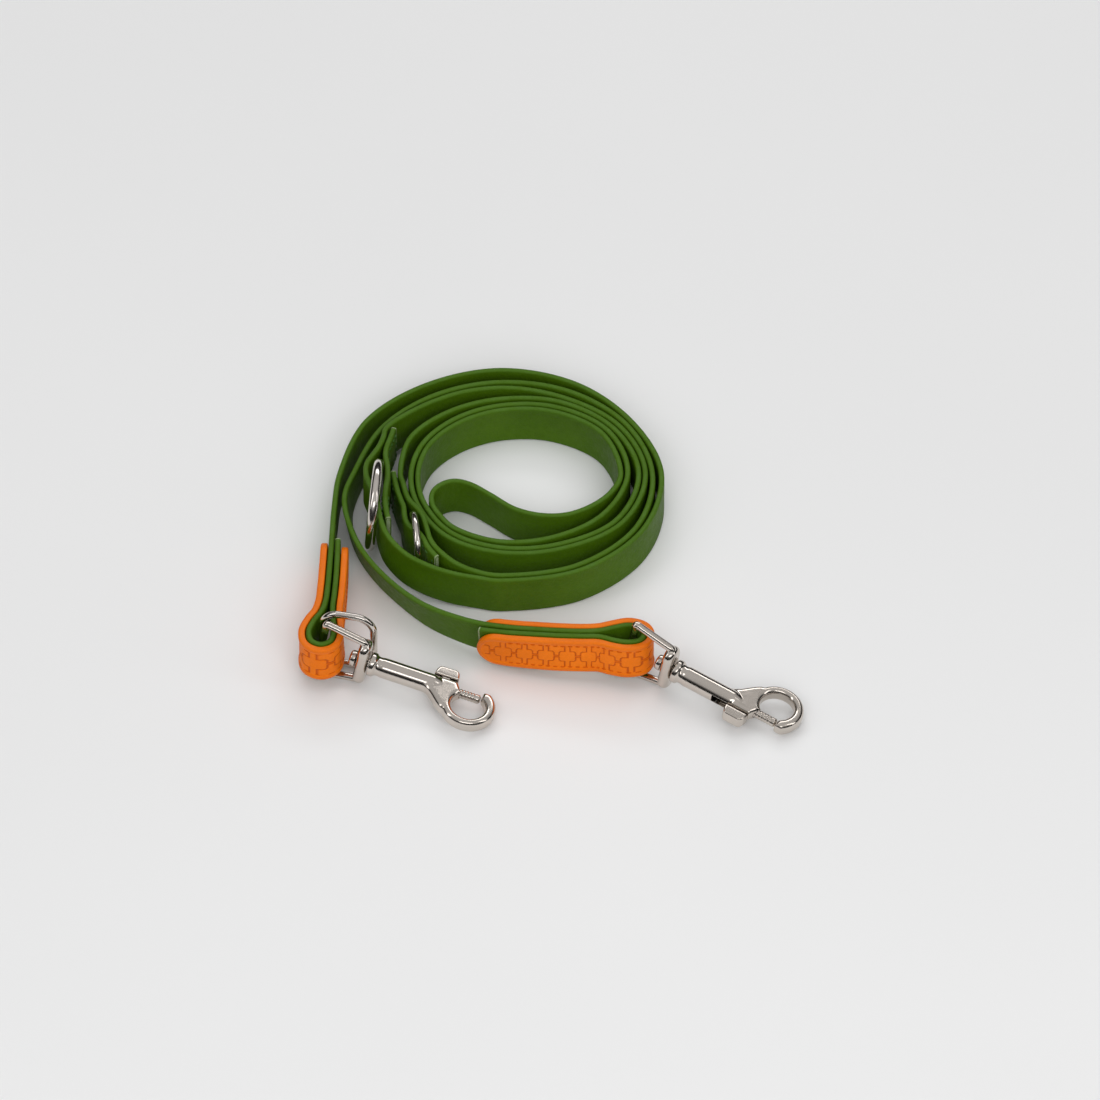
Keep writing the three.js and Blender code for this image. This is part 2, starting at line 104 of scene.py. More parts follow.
LARGE_RING_RUN = [
    [-24.6, -53, 0.3, 0], [-33, -51.5, 0.9, 0], [-41.2, -49, 2, 0], [-49.6, -44.6, 3.7, 0],
    [-55.6, -37.8, 5.6, 0], [-58, -31.5, 6.7, 0], [-58.9, -26, 7.2, 0], [-60, -20.5, 7.3, 0],
    [-61.7, -15, 7.3, 0], [-63.2, -9.5, 7.1, 0], [-63, -4, 6.7, 0], [-61, 1, 6.1, 0], [-58.9, 6, 5.3, 0],
    [-57.4, 11.5, 4.4, 0], [-56.3, 17, 3.5, 0],
]

HAIRPIN_RUN = [
    [-38.1, -22, 0, 0], [-40.6, -16.2, 0, 0], [-40.2, -10.9, 0, 0], [-37.4, -7.3, 0, 0],
    [-32.8, -5.6, 0, 0], [-27.5, -7.2, 0, 0], [-20.7, -12.3, 0, 0], [-12.2, -19.2, 0, 0],
    [-3.2, -22.3, 0, 0], [5.8, -22, 0, 0], [14.6, -17.6, 0, 0], [21.3, -10.6, 0, 0],
]

SMALL_RING_RUN = [
    [-50.6, -7.5, 1, 0], [-49.8, -12, 1.6, 0], [-48.9, -15.9, 2.2, 0], [-47.4, -19.4, 2.9, 0],
    [-45.5, -22.6, 3.5, 0], [-43.9, -26, 4, 0], [-42.9, -30, 4.4, 0], [-42, -34.5, 4.5, 0],
    [-41.1, -38.3, 4.4, 0], [-39.5, -41.3, 4, 0], [-36.9, -44, 3.2, 0], [-32.4, -47.4, 1.9, 0],
    [-25.7, -50, 0.6, 0],
]

RIGHT_END = [
    [-68.7, -13.5, 0, -8], [-65.7, -27.2, 0, -12], [-59.9, -39.4, 0, -16], [-50.3, -52.6, 0.2, -18],
    [-40.9, -62.7, 0.6, -16], [-31.4, -69.6, 1.1, -12], [-22.6, -74.6, 1.8, -8], [-13.8, -78.3, 2.8, -4],
    [-5, -80.8, 3.7, -1], [3.4, -82.4, 4.4, 0], [11, -83.2, 4.9, 0], [17.2, -83, 5.1, 0],
    [22, -81.7, 5.2, 0], [27, -80.6, 5.2, 0], [30.9, -82, 5.2, 0], [32.1, -84.7, 5.2, 0],
    [30.8, -87.6, 5.2, 0], [26.4, -88.7, 5.2, 0], [21.6, -87.7, 5.2, 0], [17, -86, 5.1, 0],
    [11, -85.6, 4.9, 0], [3.2, -84.8, 4.4, 0], [-5.6, -83.2, 3.7, 1], [-14.7, -80.8, 2.8, 4],
    [-23.5, -77.4, 1.8, 8],
]

LARGE_RING_PATCH = [
    [-53.9, 16.4, 3.5, 0], [-55, 11, 4.4, 0], [-56.2, 5.8, 5.3, 0], [-56.6, 0.8, 6.1, 0],
    [-56, -4.5, 6.7, 0], [-55.8, -10, 7.1, 0], [-56.4, -16, 7.3, 0], [-56.6, -22, 7.3, 0],
    [-56.2, -27, 7.1, 0], [-55.4, -31, 6.8, 0],
]

SMALL_RING_PATCH = [
    [-54, -1.6, 0.3, 0], [-53.2, -7.8, 1, 0], [-52.3, -12.6, 1.6, 0], [-51.3, -16.9, 2.2, 0],
    [-50.3, -21, 2.9, 0], [-50, -25.5, 3.6, 0], [-49.3, -29.5, 4.2, 0], [-47.6, -32.8, 4.5, 0],
    [-45.2, -35.4, 4.8, 0], [-43.5, -38.4, 4.9, 0], [-41.7, -42.3, 4.4, 0], [-38.6, -46.1, 3.2, 0],
]


def coiled(twelfth, way, depths):
    """Rows every 30 degrees of a coiled stretch. Depths are inwards from the coil's ellipse."""
    rows = []
    for step, depth in enumerate(depths):
        angle = (twelfth + way * step) * math.pi / 6
        radius = 1 / math.hypot(math.cos(angle) / COIL["half_x"], math.sin(angle) / COIL["half_y"])
        out = radius - depth - STRAP_THICK / 2
        rows.append([COIL["x"] + out * math.cos(angle), COIL["y"] + out * math.sin(angle), 0, 0])
    return rows


OUTER_TURN = coiled(6, -1, [0.5, 1.5, 1.3, -0.2, 0.6, 2.3, 0.1, -1.9, -2.6, -1.4])
INWARD_TURNS = coiled(4, -1, [9.6, 8.5, 8.5, 7, 5.6, 6, 9.6, 12.3, 16.1, 22, 25, 23.8, 20.7, 17.2, 13.9,
                              11.6, 11.7, 13.8, 15.9, 17.6, 21])
OUTWARD_TURNS = coiled(0, 1, [14.1, 14, 16.4, 19.6, 23.1, 26.1, 27.4, 24.4, 18.5, 14.7, 12, 8.4, 7.9, 9.3,
                              11, 14, 16.6, 18.7, 21.3])
LAST_TURN = coiled(9, 1, [1.2, 0, 0.7, 3.2, 4.6, 4.9, 5.7, 7.1, 7.8, 5.2])
STRAP_ROWS = (LEFT_END + OUTER_TURN + LARGE_RING_RUN + INWARD_TURNS + HAIRPIN_RUN + OUTWARD_TURNS
              + SMALL_RING_RUN + LAST_TURN + RIGHT_END)


def smooth(rows, step=1.3, turn=math.radians(5)):
    """A centripetal Catmull-Rom curve through the rows, in steps of about 1.3 mm or 5 degrees."""
    rows = np.array(rows, float)
    rows = np.vstack([2 * rows[0] - rows[1], rows, 2 * rows[-1] - rows[-2]])
    route = []
    for i in range(1, len(rows) - 2):
        a, b, c, d = rows[i - 1:i + 3]
        t1 = math.sqrt(math.hypot(*(b - a)[:2]))
        t2 = t1 + math.sqrt(math.hypot(*(c - b)[:2]))
        t3 = t2 + math.sqrt(math.hypot(*(d - c)[:2]))
        heading = [math.atan2(*(q - p)[1::-1]) for p, q in ((a, b), (b, c), (c, d))]
        bend = max(abs(math.remainder(q - p, 2 * math.pi)) for p, q in zip(heading, heading[1:]))
        count = max(1, math.ceil(math.hypot(*(c - b)[:2]) / step), math.ceil(bend / turn))
        for share in np.arange(count) / count:
            t = t1 + (t2 - t1) * share
            ab = (a * (t1 - t) + b * t) / t1
            bc = (b * (t2 - t) + c * (t - t1)) / (t2 - t1)
            cd = (c * (t3 - t) + d * (t - t2)) / (t3 - t2)
            abc = (ab * (t2 - t) + bc * t) / t2
            bcd = (bc * (t3 - t) + cd * (t - t1)) / (t3 - t1)
            route.append((abc * (t2 - t) + bcd * (t - t1)) / (t2 - t1))
    route.append(rows[-2])
    return np.array(route)


def distances(route):
    """How far along a route each of its rows is."""
    return np.concatenate([[0], np.cumsum(np.hypot(*np.diff(route[:, :2], axis=0).T))])


class Band:
    """A band on its edge along a route: where each point of it is, and how far along."""

    def __init__(self, route, thick=STRAP_THICK):
        self.along = distances(route)
        ahead = np.vstack([route[1:, :2], route[-1:, :2]])
        behind = np.vstack([route[:1, :2], route[:-1, :2]])
        way = ahead - behind
        way /= np.linalg.norm(way, axis=1)[:, None]
        lean = np.radians(route[:, 3])
        left = np.column_stack([-way[:, 1], way[:, 0], np.zeros(len(way))])
        up = np.array([0, 0, 1.0])
        self.way = np.column_stack([way, np.zeros(len(way))])
        self.up = np.cos(lean)[:, None] * up + np.sin(lean)[:, None] * left
        self.side = np.cos(lean)[:, None] * left - np.sin(lean)[:, None] * up
        lift = np.maximum(route[:, 2], 0) + thick / 2 * np.abs(np.sin(lean))
        self.foot = np.column_stack([route[:, 0] + PLACE[0], route[:, 1] + PLACE[1], lift])

    def at(self, distance):
        """Foot, side, up and way at a distance along, or at each of several."""
        return [np.array([np.interp(distance, self.along, column) for column in field.T]).T
                for field in (self.foot, self.side, self.up, self.way)]

    def point(self, distance, across, high):
        foot, side, up, _ = self.at(distance)
        return foot + side * across + up * high


def cut(route, start, stop, extra=(), apart=0.2):
    """The part of a route between two distances, with exact ends and any extra stations.

    The route's own stations that are nearer to those than apart are left out.
    """
    along = distances(route)
    inner = [d for d in along if start + apart < d < stop - apart]
    inner = [d for d in inner if all(abs(d - other) > apart for other in extra)]
    inner = sorted([*inner, *extra])
    return np.array([[np.interp(d, along, column) for column in route.T] for d in [start, *inner, stop]])


def beside(route, distance):
    """A route moved to its left."""
    band = Band(route)
    moved = route.copy()
    moved[:, :2] += np.cross([0, 0, 1.0], band.way)[:, :2] * distance
    return moved


# ---- material tools ----


def set_stops(ramp, stops):
    """Fills a colour ramp with stops of (position, colour or grey)."""
    elements = ramp.color_ramp.elements
    while len(elements) < len(stops):
        elements.new(0.5)
    for element, (position, value) in zip(elements, stops):
        element.position = position
        colour = value if isinstance(value, tuple) else (value, value, value)
        element.color = (*colour, 1)


class Nodes:
    """A small builder for a material's node tree."""

    def __init__(self, name):
        self.material = bpy.data.materials.new(name)
        self.material.use_nodes = True
        self.tree = self.material.node_tree
        self.shader = self.tree.nodes["Principled BSDF"]
        self.coordinates = self.add("ShaderNodeTexCoord").outputs["Object"]

    def add(self, kind, **values):
        node = self.tree.nodes.new(kind)
        for key, value in values.items():
            setattr(node, key, value)
        return node

    def link(self, source, target):
        self.tree.links.new(source, target)

    def feed(self, source, socket):
        """Links a node's output to the socket, or sets the socket's value."""
        if hasattr(source, "links"):
            self.link(source, socket)
        else:
            socket.default_value = (*source, 1) if isinstance(source, tuple) else source

    def stretched(self, scale):
        mapping = self.add("ShaderNodeMapping")
        mapping.inputs["Scale"].default_value = scale
        self.link(self.coordinates, mapping.inputs["Vector"])
        return mapping.outputs["Vector"]

    def noise(self, scale, detail=3.0, roughness=0.5, vector=None):
        node = self.add("ShaderNodeTexNoise")
        node.inputs["Scale"].default_value = scale
        node.inputs["Detail"].default_value = detail
        node.inputs["Roughness"].default_value = roughness
        self.link(vector or self.coordinates, node.inputs["Vector"])
        return node.outputs["Fac"]

    def cells(self, scale, feature="F1", vector=None):
        node = self.add("ShaderNodeTexVoronoi", feature=feature)
        node.inputs["Scale"].default_value = scale
        self.link(vector or self.coordinates, node.inputs["Vector"])
        return node.outputs["Distance"]

    def attribute(self, name):
        return self.add("ShaderNodeAttribute", attribute_name=name).outputs["Fac"]

    def ramp(self, source, *stops):
        node = self.add("ShaderNodeValToRGB")
        set_stops(node, stops)
        self.link(source, node.inputs["Fac"])
        return node.outputs["Color"]

    def mix(self, factor, first, second, blend="MIX"):
        node = self.add("ShaderNodeMix", data_type="RGBA", blend_type=blend)
        for source, index in ((factor, 0), (first, 6), (second, 7)):
            self.feed(source, node.inputs[index])
        return node.outputs[2]

    def math(self, operation, *values):
        node = self.add("ShaderNodeMath", operation=operation)
        for source, socket in zip(values, node.inputs):
            self.feed(source, socket)
        return node.outputs[0]

    def bump(self, *layers):
        """Layers of (height, depth in metres), one on another."""
        normal = None
        for height, depth in layers:
            node = self.add("ShaderNodeBump")
            node.inputs["Strength"].default_value = 1
            node.inputs["Distance"].default_value = depth
            self.link(height, node.inputs["Height"])
            if normal:
                self.link(normal, node.inputs["Normal"])
            normal = node.outputs["Normal"]
        self.link(normal, self.shader.inputs["Normal"])

    def set(self, **values):
        for key, value in values.items():
            self.feed(value, self.shader.inputs[key.replace("_", " ")])
        return self.material


def strap_material():
    """Green coated webbing: a soft leather-like grain, with a patchy painted highlight that lightens its
    rounded edges.
    """
    n = Nodes("strap_coating")
    blotches = n.noise(45, 4, 0.6)
    speckle = n.noise(900, 2, 0.6)
    grain = n.cells(1300, "SMOOTH_F1")
    creases = n.cells(620, "DISTANCE_TO_EDGE", n.stretched((1, 1, 0.6)))
    colour = n.ramp(blotches, (0.3, (0.055, 0.125, 0.0015)), (0.7, (0.070, 0.150, 0.0030)))
    colour = n.mix(0.35, colour, n.ramp(speckle, (0.35, 0.72), (0.65, 1.0)), "MULTIPLY")
    # painted highlight: the rounded edges, picked out by the edge attribute, are lightened in colour
    # towards a paler green
    edge_highlight = n.math("MULTIPLY", n.attribute("edge"), n.ramp(n.noise(260, 3), (0.25, 0.25), (0.7, 0.75)))
    colour = n.mix(edge_highlight, colour, (0.075, 0.165, 0.022))
    n.bump((n.ramp(creases, (0.0, 0.0), (0.12, 1.0)), 0.00005), (grain, 0.00007),
           (n.noise(160, 3), 0.00018))
    return n.set(Base_Color=colour, Roughness=n.ramp(n.noise(400, 3), (0.3, 0.44), (0.7, 0.58)),
                 Specular_IOR_Level=0.13)


def core_material():
    """The strap's cut end: pale webbing inside the coating."""
    n = Nodes("strap_core")
    weave = n.noise(2600, 2, 0.7)
    colour = n.ramp(weave, (0.35, (0.16, 0.24, 0.08)), (0.65, (0.40, 0.46, 0.30)))
    n.bump((weave, 0.0001))
    return n.set(Base_Color=colour, Roughness=0.85, Specular_IOR_Level=0.3)


def tab_material():
    """Moulded orange rubber, with painted shade in the engraved lines, and a rim that is a little darker in
    colour and smoother.
    """
    n = Nodes("tab_rubber")
    field = n.ramp(n.noise(70, 3), (0.3, (0.88, 0.185, 0.0)), (0.7, (0.95, 0.215, 0.001)))
    rim = n.ramp(n.noise(120, 3), (0.3, (0.80, 0.160, 0.0)), (0.7, (0.86, 0.185, 0.001)))
    colour = n.mix(n.attribute("rim"), field, rim)
    # painted shade: the engraved lines are darkened in colour by the groove attribute
    colour = n.mix(n.attribute("groove"), colour, (0.50, 0.066, 0.0))
    colour = n.mix(0.3, colour, n.ramp(n.noise(1500, 2), (0.35, 0.8), (0.65, 1.0)), "MULTIPLY")
    rough = n.mix(n.attribute("rim"), n.ramp(n.noise(900, 2), (0.3, 0.55), (0.7, 0.7)), (0.42, 0.42, 0.42))
    n.bump((n.noise(3200, 2, 0.6), 0.00004), (n.noise(300, 3), 0.00005))
    return n.set(Base_Color=colour, Roughness=rough, Specular_IOR_Level=0.25)


def thread_material(name, dark, light):
    """Waxed polyester thread with its twist."""
    n = Nodes(name)
    twist = n.noise(2400, 2, 0.6)
    n.bump((twist, 0.00006))
    return n.set(Base_Color=n.ramp(twist, (0.3, dark), (0.7, light)), Roughness=0.7,
                 Specular_IOR_Level=0.15)


def nickel_material(name, tint, rough):
    """Polished metal: slightly uneven from casting, with fine marks and dulled in places."""
    n = Nodes(name)
    cast = n.noise(120, 3, 0.5)
    marks = n.noise(700, 4, 0.65, n.stretched((0.35, 1, 1)))
    pale = tuple(min(value * 1.05, 1) for value in tint)
    colour = n.ramp(n.noise(220, 3), (0.3, tint), (0.7, pale))
    n.bump((cast, 0.000012), (marks, 0.000001))
    return n.set(Base_Color=colour, Metallic=1.0,
                 Roughness=n.ramp(marks, (0.3, rough), (0.75, rough + 0.09)))


make_camera()

STRAP = strap_material()
CORE = core_material()
TAB = tab_material()
GREEN_THREAD = thread_material("green_thread", (0.035, 0.10, 0.02), (0.07, 0.17, 0.04))
ORANGE_THREAD = thread_material("orange_thread", (0.55, 0.085, 0.001), (0.76, 0.14, 0.003))
NICKEL = nickel_material("nickel_plate", (0.62, 0.565, 0.51), 0.12)
RING_NICKEL = nickel_material("ring_nickel", (0.68, 0.63, 0.58), 0.1)
STEEL = nickel_material("spring_steel", (0.52, 0.52, 0.53), 0.3)


# ---- mesh tools ----


def piece(name, points, faces, materials, body, slots=None, attributes=None):
    """A mesh object that rides on a body. Points are in millimetres, in the frame's axes."""
    mesh = bpy.data.meshes.new(name)
    mesh.from_pydata((np.asarray(points) * MM).tolist(), [], faces)
    for material in materials:
        mesh.materials.append(material)
    if slots is not None:
        mesh.polygons.foreach_set("material_index", slots)
    for key, values in (attributes or {}).items():
        layer = mesh.attributes.new(key, "FLOAT", "POINT")
        layer.data.foreach_set("value", np.asarray(values, np.float32))
    mesh.update()
    thing = added(name, mesh)
    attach(thing, body)
    return thing


def shade(thing, angle=None):
    """Smooth shading, with edges sharper than the angle kept sharp."""
    thing.data.shade_smooth()
    if angle is not None:
        thing.data.set_sharp_from_angle(angle=math.radians(angle))
    return thing


def tube_faces(rows, around, first=0):
    """Quads between neighbouring rings of points, in order."""
    faces = []
    for i in range(rows - 1):
        for k in range(around):
            a = first + i * around + k
            b = first + i * around + (k + 1) % around
            faces.append((a, a + around, b + around, b))
    return faces


def band_section(thick, width, radius, corner_steps=4, face_step=1.1):
    """The band's section as (across, high) points, anticlockwise seen along the way from its end."""
    points = []
    half = thick / 2
    for centre, start in (((half - radius, width - radius), 0), ((radius - half, width - radius), 90),
                          ((radius - half, radius), 180), ((half - radius, radius), 270)):
        for step in range(corner_steps + 1):
            angle = math.radians(start + 90 * step / corner_steps)
            points.append((centre[0] + radius * math.cos(angle), centre[1] + radius * math.sin(angle)))
        if start in (90, 270):
            count = round((width - 2 * radius) / face_step)
            end = points[-1]
            way = -1 if start == 90 else 1
            for step in range(1, count):
                points.append((end[0], end[1] + way * (width - 2 * radius) * step / count))
    return points


def ribbon(name, route, body="leash", ends=(True, True)):
    """A length of strap along a route, with rounded edges and a slightly uneven face.

    Where an end is cut, its rim and its face show the pale core.
    """
    length = Band(route).along[-1]
    route = cut(route, 0, length, (CUT_REACH, length - CUT_REACH))
    band = Band(route)
    section = band_section(STRAP_THICK, STRAP_WIDTH, STRAP_EDGE)
    around = len(section)
    points = []
    edge = []
    for foot, side, up in zip(band.foot, band.side, band.up):
        for across, high in section:
            uneven = STRAP_UNEVEN * noise.noise(Vector(foot + up * high) * STRAP_WANDER)
            points.append(foot + side * across * (1 + uneven) + up * high)
            # edge: how strongly the painted highlight lightens the strap here, 1 at its rounded edges
            from_edge = min(high, STRAP_WIDTH - high)
            edge.append(max(0.0, 1 - from_edge / (STRAP_EDGE * 1.3)))
    faces = tube_faces(len(band.foot), around)
    slots = [0] * len(faces)
    slots[:around] = [int(ends[0])] * around
    slots[-around:] = [int(ends[1])] * around
    middle = np.array([0, STRAP_WIDTH / 2])
    for row, sign in ((0, -1), (len(band.foot) - 1, 1)):
        last = list(range(row * around, (row + 1) * around))
        for shrink, depth in CORE_RINGS:
            ring = []
            for across, high in section:
                inset = np.array([across, high]) - middle
                inset[0] *= 1 - shrink
                inset[1] *= 1 - shrink * STRAP_THICK / STRAP_WIDTH
                spot = inset + middle
                ring.append(len(points))
                points.append(band.foot[row] + band.side[row] * spot[0] + band.up[row] * spot[1]
                              - band.way[row] * sign * depth)
                # half the painted highlight on the drawn-in rings of a cut end
                edge.append(0.5)
            for k in range(around):
                quad = (last[k], last[(k + 1) % around], ring[(k + 1) % around], ring[k])
                faces.append(quad if sign > 0 else quad[::-1])
                slots.append(0)
            last = ring
        faces.append(last if sign > 0 else last[::-1])
        slots.append(1 if ends[0 if sign < 0 else 1] else 0)
    thing = piece(name, points, faces, [STRAP, CORE], body, slots, {"edge": edge})
    return shade(thing, 50)


# ---- the strap, in four cords that meet under the rings' patches and at the hairpin ----

strap_route = smooth(STRAP_ROWS)
strap_band = Band(strap_route)


def distance_of(row):
    """How far along the strap it passes nearest to a row."""
    return strap_band.along[np.argmin(np.hypot(*(strap_route[:, :2] - np.array(row[:2])).T))]


strap_length = strap_band.along[-1]
SPLITS = [0, distance_of([-61.7, -15]), distance_of([-32.8, -5.6]), distance_of([-42.9, -30]), strap_length]


def make_strap():
    for index, (start, stop) in enumerate(zip(SPLITS, SPLITS[1:])):
        route = cut(strap_route, start, stop)
        band = Band(route)
        thing = ribbon(f"strap_run_{index + 1}", route, ends=(index == 0, index == 3))
        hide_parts("strap")


make_strap()


def make_patch(name, rows):
    thing = ribbon(name + "_sewn", smooth(rows))
    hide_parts(name)


make_patch("large_ring_patch", LARGE_RING_PATCH)
make_patch("small_ring_patch", SMALL_RING_PATCH)


# ---- stitches ----


STITCH_PITCH = 2.6
STITCH_MARGIN = 1.9  # from a seam to the strap's edge


def thread_loop(start, end, out, radius=0.24, steps=6, around=8):
    """One stitch: a short thread that comes up out of the surface, lies along it and dives back in."""
    start, end, out = (np.asarray(v, float) for v in (start, end, out))
    way = end - start
    way /= np.linalg.norm(way)
    cross = np.cross(out, way)
    points = []
    for step in range(steps + 1):
        share = step / steps
        arch = math.sin(math.pi * share) ** 0.5
        centre = start + (end - start) * share + out * radius * (1.15 * arch - 0.55)
        thick = radius * (0.35 + 0.65 * arch)
        for k in range(around):
            angle = 2 * math.pi * k / around
            points.append(centre + thick * (math.cos(angle) * cross + math.sin(angle) * out))
    faces = tube_faces(steps + 1, around)
    faces.append(tuple(range(around)))
    faces.append(tuple(range(steps * around + around - 1, steps * around - 1, -1)))
    return points, faces


def stitches(name, lines, material, body="leash"):
    """A piece made of many stitches, each given by its start, end and outward direction."""
    points = []
    faces = []
    for start, end, out in lines:
        more, more_faces = thread_loop(start, end, out)
        faces += [tuple(i + len(points) for i in face) for face in more_faces]
        points += more
    thing = shade(piece(name, points, faces, [material], body))
    return thing


def sewn_end(band, start, stop, side, thick=STRAP_THICK):
    """A sewn box on one face of a band: two rows along it and one across at each end."""
    lines = []
    lift = side * thick / 2
    for high in (STITCH_MARGIN, STRAP_WIDTH - STITCH_MARGIN):
        for k in range(int((stop - start) / STITCH_PITCH)):
            near = start + k * STITCH_PITCH
            far = near + STITCH_PITCH * 0.78
            out = band.at(near + STITCH_PITCH / 2)[1] * side
            lines.append((band.point(near, lift, high), band.point(far, lift, high), out))
    height = STRAP_WIDTH - 2 * STITCH_MARGIN
    count = int(height / STITCH_PITCH)
    for where in (start, stop):
        out = band.at(where)[1] * side
        for k in range(count):
            low = STITCH_MARGIN + height * k / count
            high = low + STITCH_PITCH * 0.85
            lines.append((band.point(where, lift, low + 0.25), band.point(where, lift, high), out))
    return lines


def make_patch_stitches(name, rows, reach, inset=1.6):
    """A sewn box at each end of a patch, on both faces."""
    band = Band(smooth(rows))
    length = band.along[-1]
    lines = []
    for start, stop in ((inset, reach), (length - reach, length - inset)):
        for side in (1, -1):
            lines += sewn_end(band, start, stop, side)
    stitches(name, lines, GREEN_THREAD)


make_patch_stitches("large_patch_stitches", LARGE_RING_PATCH, 12)
make_patch_stitches("small_patch_stitches", SMALL_RING_PATCH, 11)


# ---- the tabs ----

RIM_WIDE = 1.5
RIM_HIGH = 0.34  # of the rim above the field
TAB_EDGE = 0.75  # radius of the tab's rounded edges
TAB_COLUMNS = 59  # points across each face
TAB_STATION = 0.26  # between rows of points along
TAB_INSET = 0.15  # of the moulded ends from the route's
PATTERN_PITCH = 7.2
CROSS_BODY = (2.75, 2.3, 0.85)  # half sizes along and across, and the corner's radius
CROSS_UPRIGHT = (0.88, 9, 0.1)
LINK_HALF = 0.38
GROOVE_HALF = 0.15
GROOVE_DEEP = 0.26
TAB_STITCH_PITCH = 2.5


def soft_step(value, low, high):
    share = np.clip((value - low) / (high - low), 0, 1)
    return share * share * (3 - 2 * share)


def box_distance(x, y, half_x, half_y, corner):
    """Signed distance to a rounded rectangle."""
    dx = np.abs(x) - half_x + corner
    dy = np.abs(y) - half_y + corner
    return np.hypot(np.maximum(dx, 0), np.maximum(dy, 0)) + np.minimum(np.maximum(dx, dy), 0) - corner


def pattern_distance(along, across):
    """Distance to the outline of a chain of rounded crosses, one to each pitch."""
    x = (along + PATTERN_PITCH / 2) % PATTERN_PITCH - PATTERN_PITCH / 2
    body = box_distance(x, across, *CROSS_BODY)
    upright = box_distance(x, across, *CROSS_UPRIGHT)
    link = np.abs(across) - LINK_HALF
    joined = np.minimum(np.minimum(body, upright), link)
    return np.abs(joined)


def tab_relief(along, across, length):
    """The rim's and the groove's shares at points of the tab's face, and how far in they are."""
    radius = TAB_WIDTH / 2
    past = np.maximum(np.abs(along - length / 2) - (length / 2 - radius), 0)
    from_edge = radius - np.hypot(past, across)
    rim = 1 - soft_step(from_edge, RIM_WIDE - 0.1, RIM_WIDE + 0.45)
    inside = soft_step(from_edge, RIM_WIDE + 0.75, RIM_WIDE + 1.0)
    distance = pattern_distance(along - length / 2, across)
    groove = (1 - soft_step(distance, GROOVE_HALF * 0.5, GROOVE_HALF * 1.9)) * inside
    return rim, groove, from_edge


def tab_route(end, farther):
    """The stretch of a strap's end that the tab covers."""
    inner = smooth(end)
    along = Band(inner).along
    tip = along[int(np.argmax([farther(row) for row in inner]))]
    start = max(tip - TAB_REACH, 0)
    stop = min(tip + TAB_REACH, along[-1])
    return cut(inner, start, stop)


def make_tab(name, end, farther):
    """The orange sleeve: a recessed field with engraved crosses inside a smooth rim, on its outer face."""
    base = tab_route(end, farther)
    band = Band(beside(base, STRAP_THICK / 2 + GAP + TAB_THICK / 2))
    band.along = distances(base)  # the tab's lengths are measured on the strap inside it
    span = band.along[-1]
    radius = TAB_WIDTH / 2
    ends = radius * (1 - np.cos(np.linspace(0.02, 1, 26) * math.pi / 2))
    middle = np.arange(radius + TAB_STATION, span - radius - TAB_STATION / 2, TAB_STATION)
    stations = np.concatenate([ends, middle, (span - ends)[::-1]])
    stations = stations * (span - 2 * TAB_INSET) / span + TAB_INSET
    even = np.linspace(-1, 1, TAB_COLUMNS)
    columns = np.sin(even * math.pi / 2) * 0.35 + even * 0.65
    points = []
    rims = []
    grooves = []
    for s, foot, side, up, _ in zip(stations, *band.at(stations)):
        share = min(s, span - s, radius)
        half = math.sqrt(max(radius ** 2 - (radius - share) ** 2, 0.01))
        across = columns * half
        rim, groove, from_edge = tab_relief(np.full(TAB_COLUMNS, s), across, span)
        near_edge = np.clip(TAB_EDGE - from_edge, 0, TAB_EDGE)
        rounding = TAB_EDGE - np.sqrt(np.maximum(TAB_EDGE ** 2 - near_edge ** 2, 0))
        outer = TAB_THICK / 2 - rounding * 0.9 - RIM_HIGH * (1 - rim) - GROOVE_DEEP * groove
        inner = -TAB_THICK / 2 + rounding * 0.5
        for k in range(TAB_COLUMNS):
            points.append(foot + side * outer[k] + up * (STRAP_WIDTH / 2 + across[k]))
        for k in reversed(range(TAB_COLUMNS)):
            points.append(foot + side * inner[k] + up * (STRAP_WIDTH / 2 + across[k]))
        rims += [*rim, *np.ones(TAB_COLUMNS)]
        # groove: carves the lines, and in the material it also marks where shade is painted into them
        grooves += [*groove, *np.zeros(TAB_COLUMNS)]
    around = 2 * TAB_COLUMNS
    rows = len(stations)
    faces = [face[::-1] for face in tube_faces(rows, around)]
    for row, sign in ((0, -1), (rows - 1, 1)):
        for k in range(TAB_COLUMNS - 1):
            quad = tuple(row * around + i for i in (k, k + 1, around - 2 - k, around - 1 - k))
            faces.append(quad if sign < 0 else quad[::-1])
    thing = shade(piece(name + "_moulded", points, faces, [TAB], "leash",
                        attributes={"rim": rims, "groove": grooves}), 60)
    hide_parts(name)
    lines = []
    clear = 2  # from the first and last stitch to the rounded ends
    level = TAB_THICK / 2 - RIM_HIGH - 0.05
    for high in (-1, 1):
        row = STRAP_WIDTH / 2 + high * (radius - RIM_WIDE - 0.72)
        for k in range(int((span - 2 * radius - 2 * clear) / TAB_STITCH_PITCH)):
            near = radius + clear + k * TAB_STITCH_PITCH
            far = near + TAB_STITCH_PITCH * 0.72
            lines.append((band.point(near, level, row), band.point(far, level, row), band.at(far)[1]))
    stitches(name + "_stitches", lines, ORANGE_THREAD)


make_tab("left_tab", LEFT_END, lambda row: -row[1])
make_tab("right_tab", RIGHT_END, lambda row: row[0])


# ---- the rings ----


def wire_loop(centres, radius_at, around=28):
    """A closed wire round a list of centres in the XY plane."""
    centres = np.asarray(centres, float)
    way = np.roll(centres, -1, axis=0) - np.roll(centres, 1, axis=0)
    way /= np.linalg.norm(way, axis=1)[:, None]
    out = np.column_stack([way[:, 1], -way[:, 0], np.zeros(len(way))])
    up = np.array([0, 0, 1.0])
    points = []
    for i, centre in enumerate(centres):
        for k in range(around):
            angle = 2 * math.pi * k / around
            points.append(centre + radius_at(i) * (math.cos(angle) * out[i] + math.sin(angle) * up))
    faces = tube_faces(len(centres) + 1, around)
    return points, [tuple(i % len(points) for i in face) for face in faces]


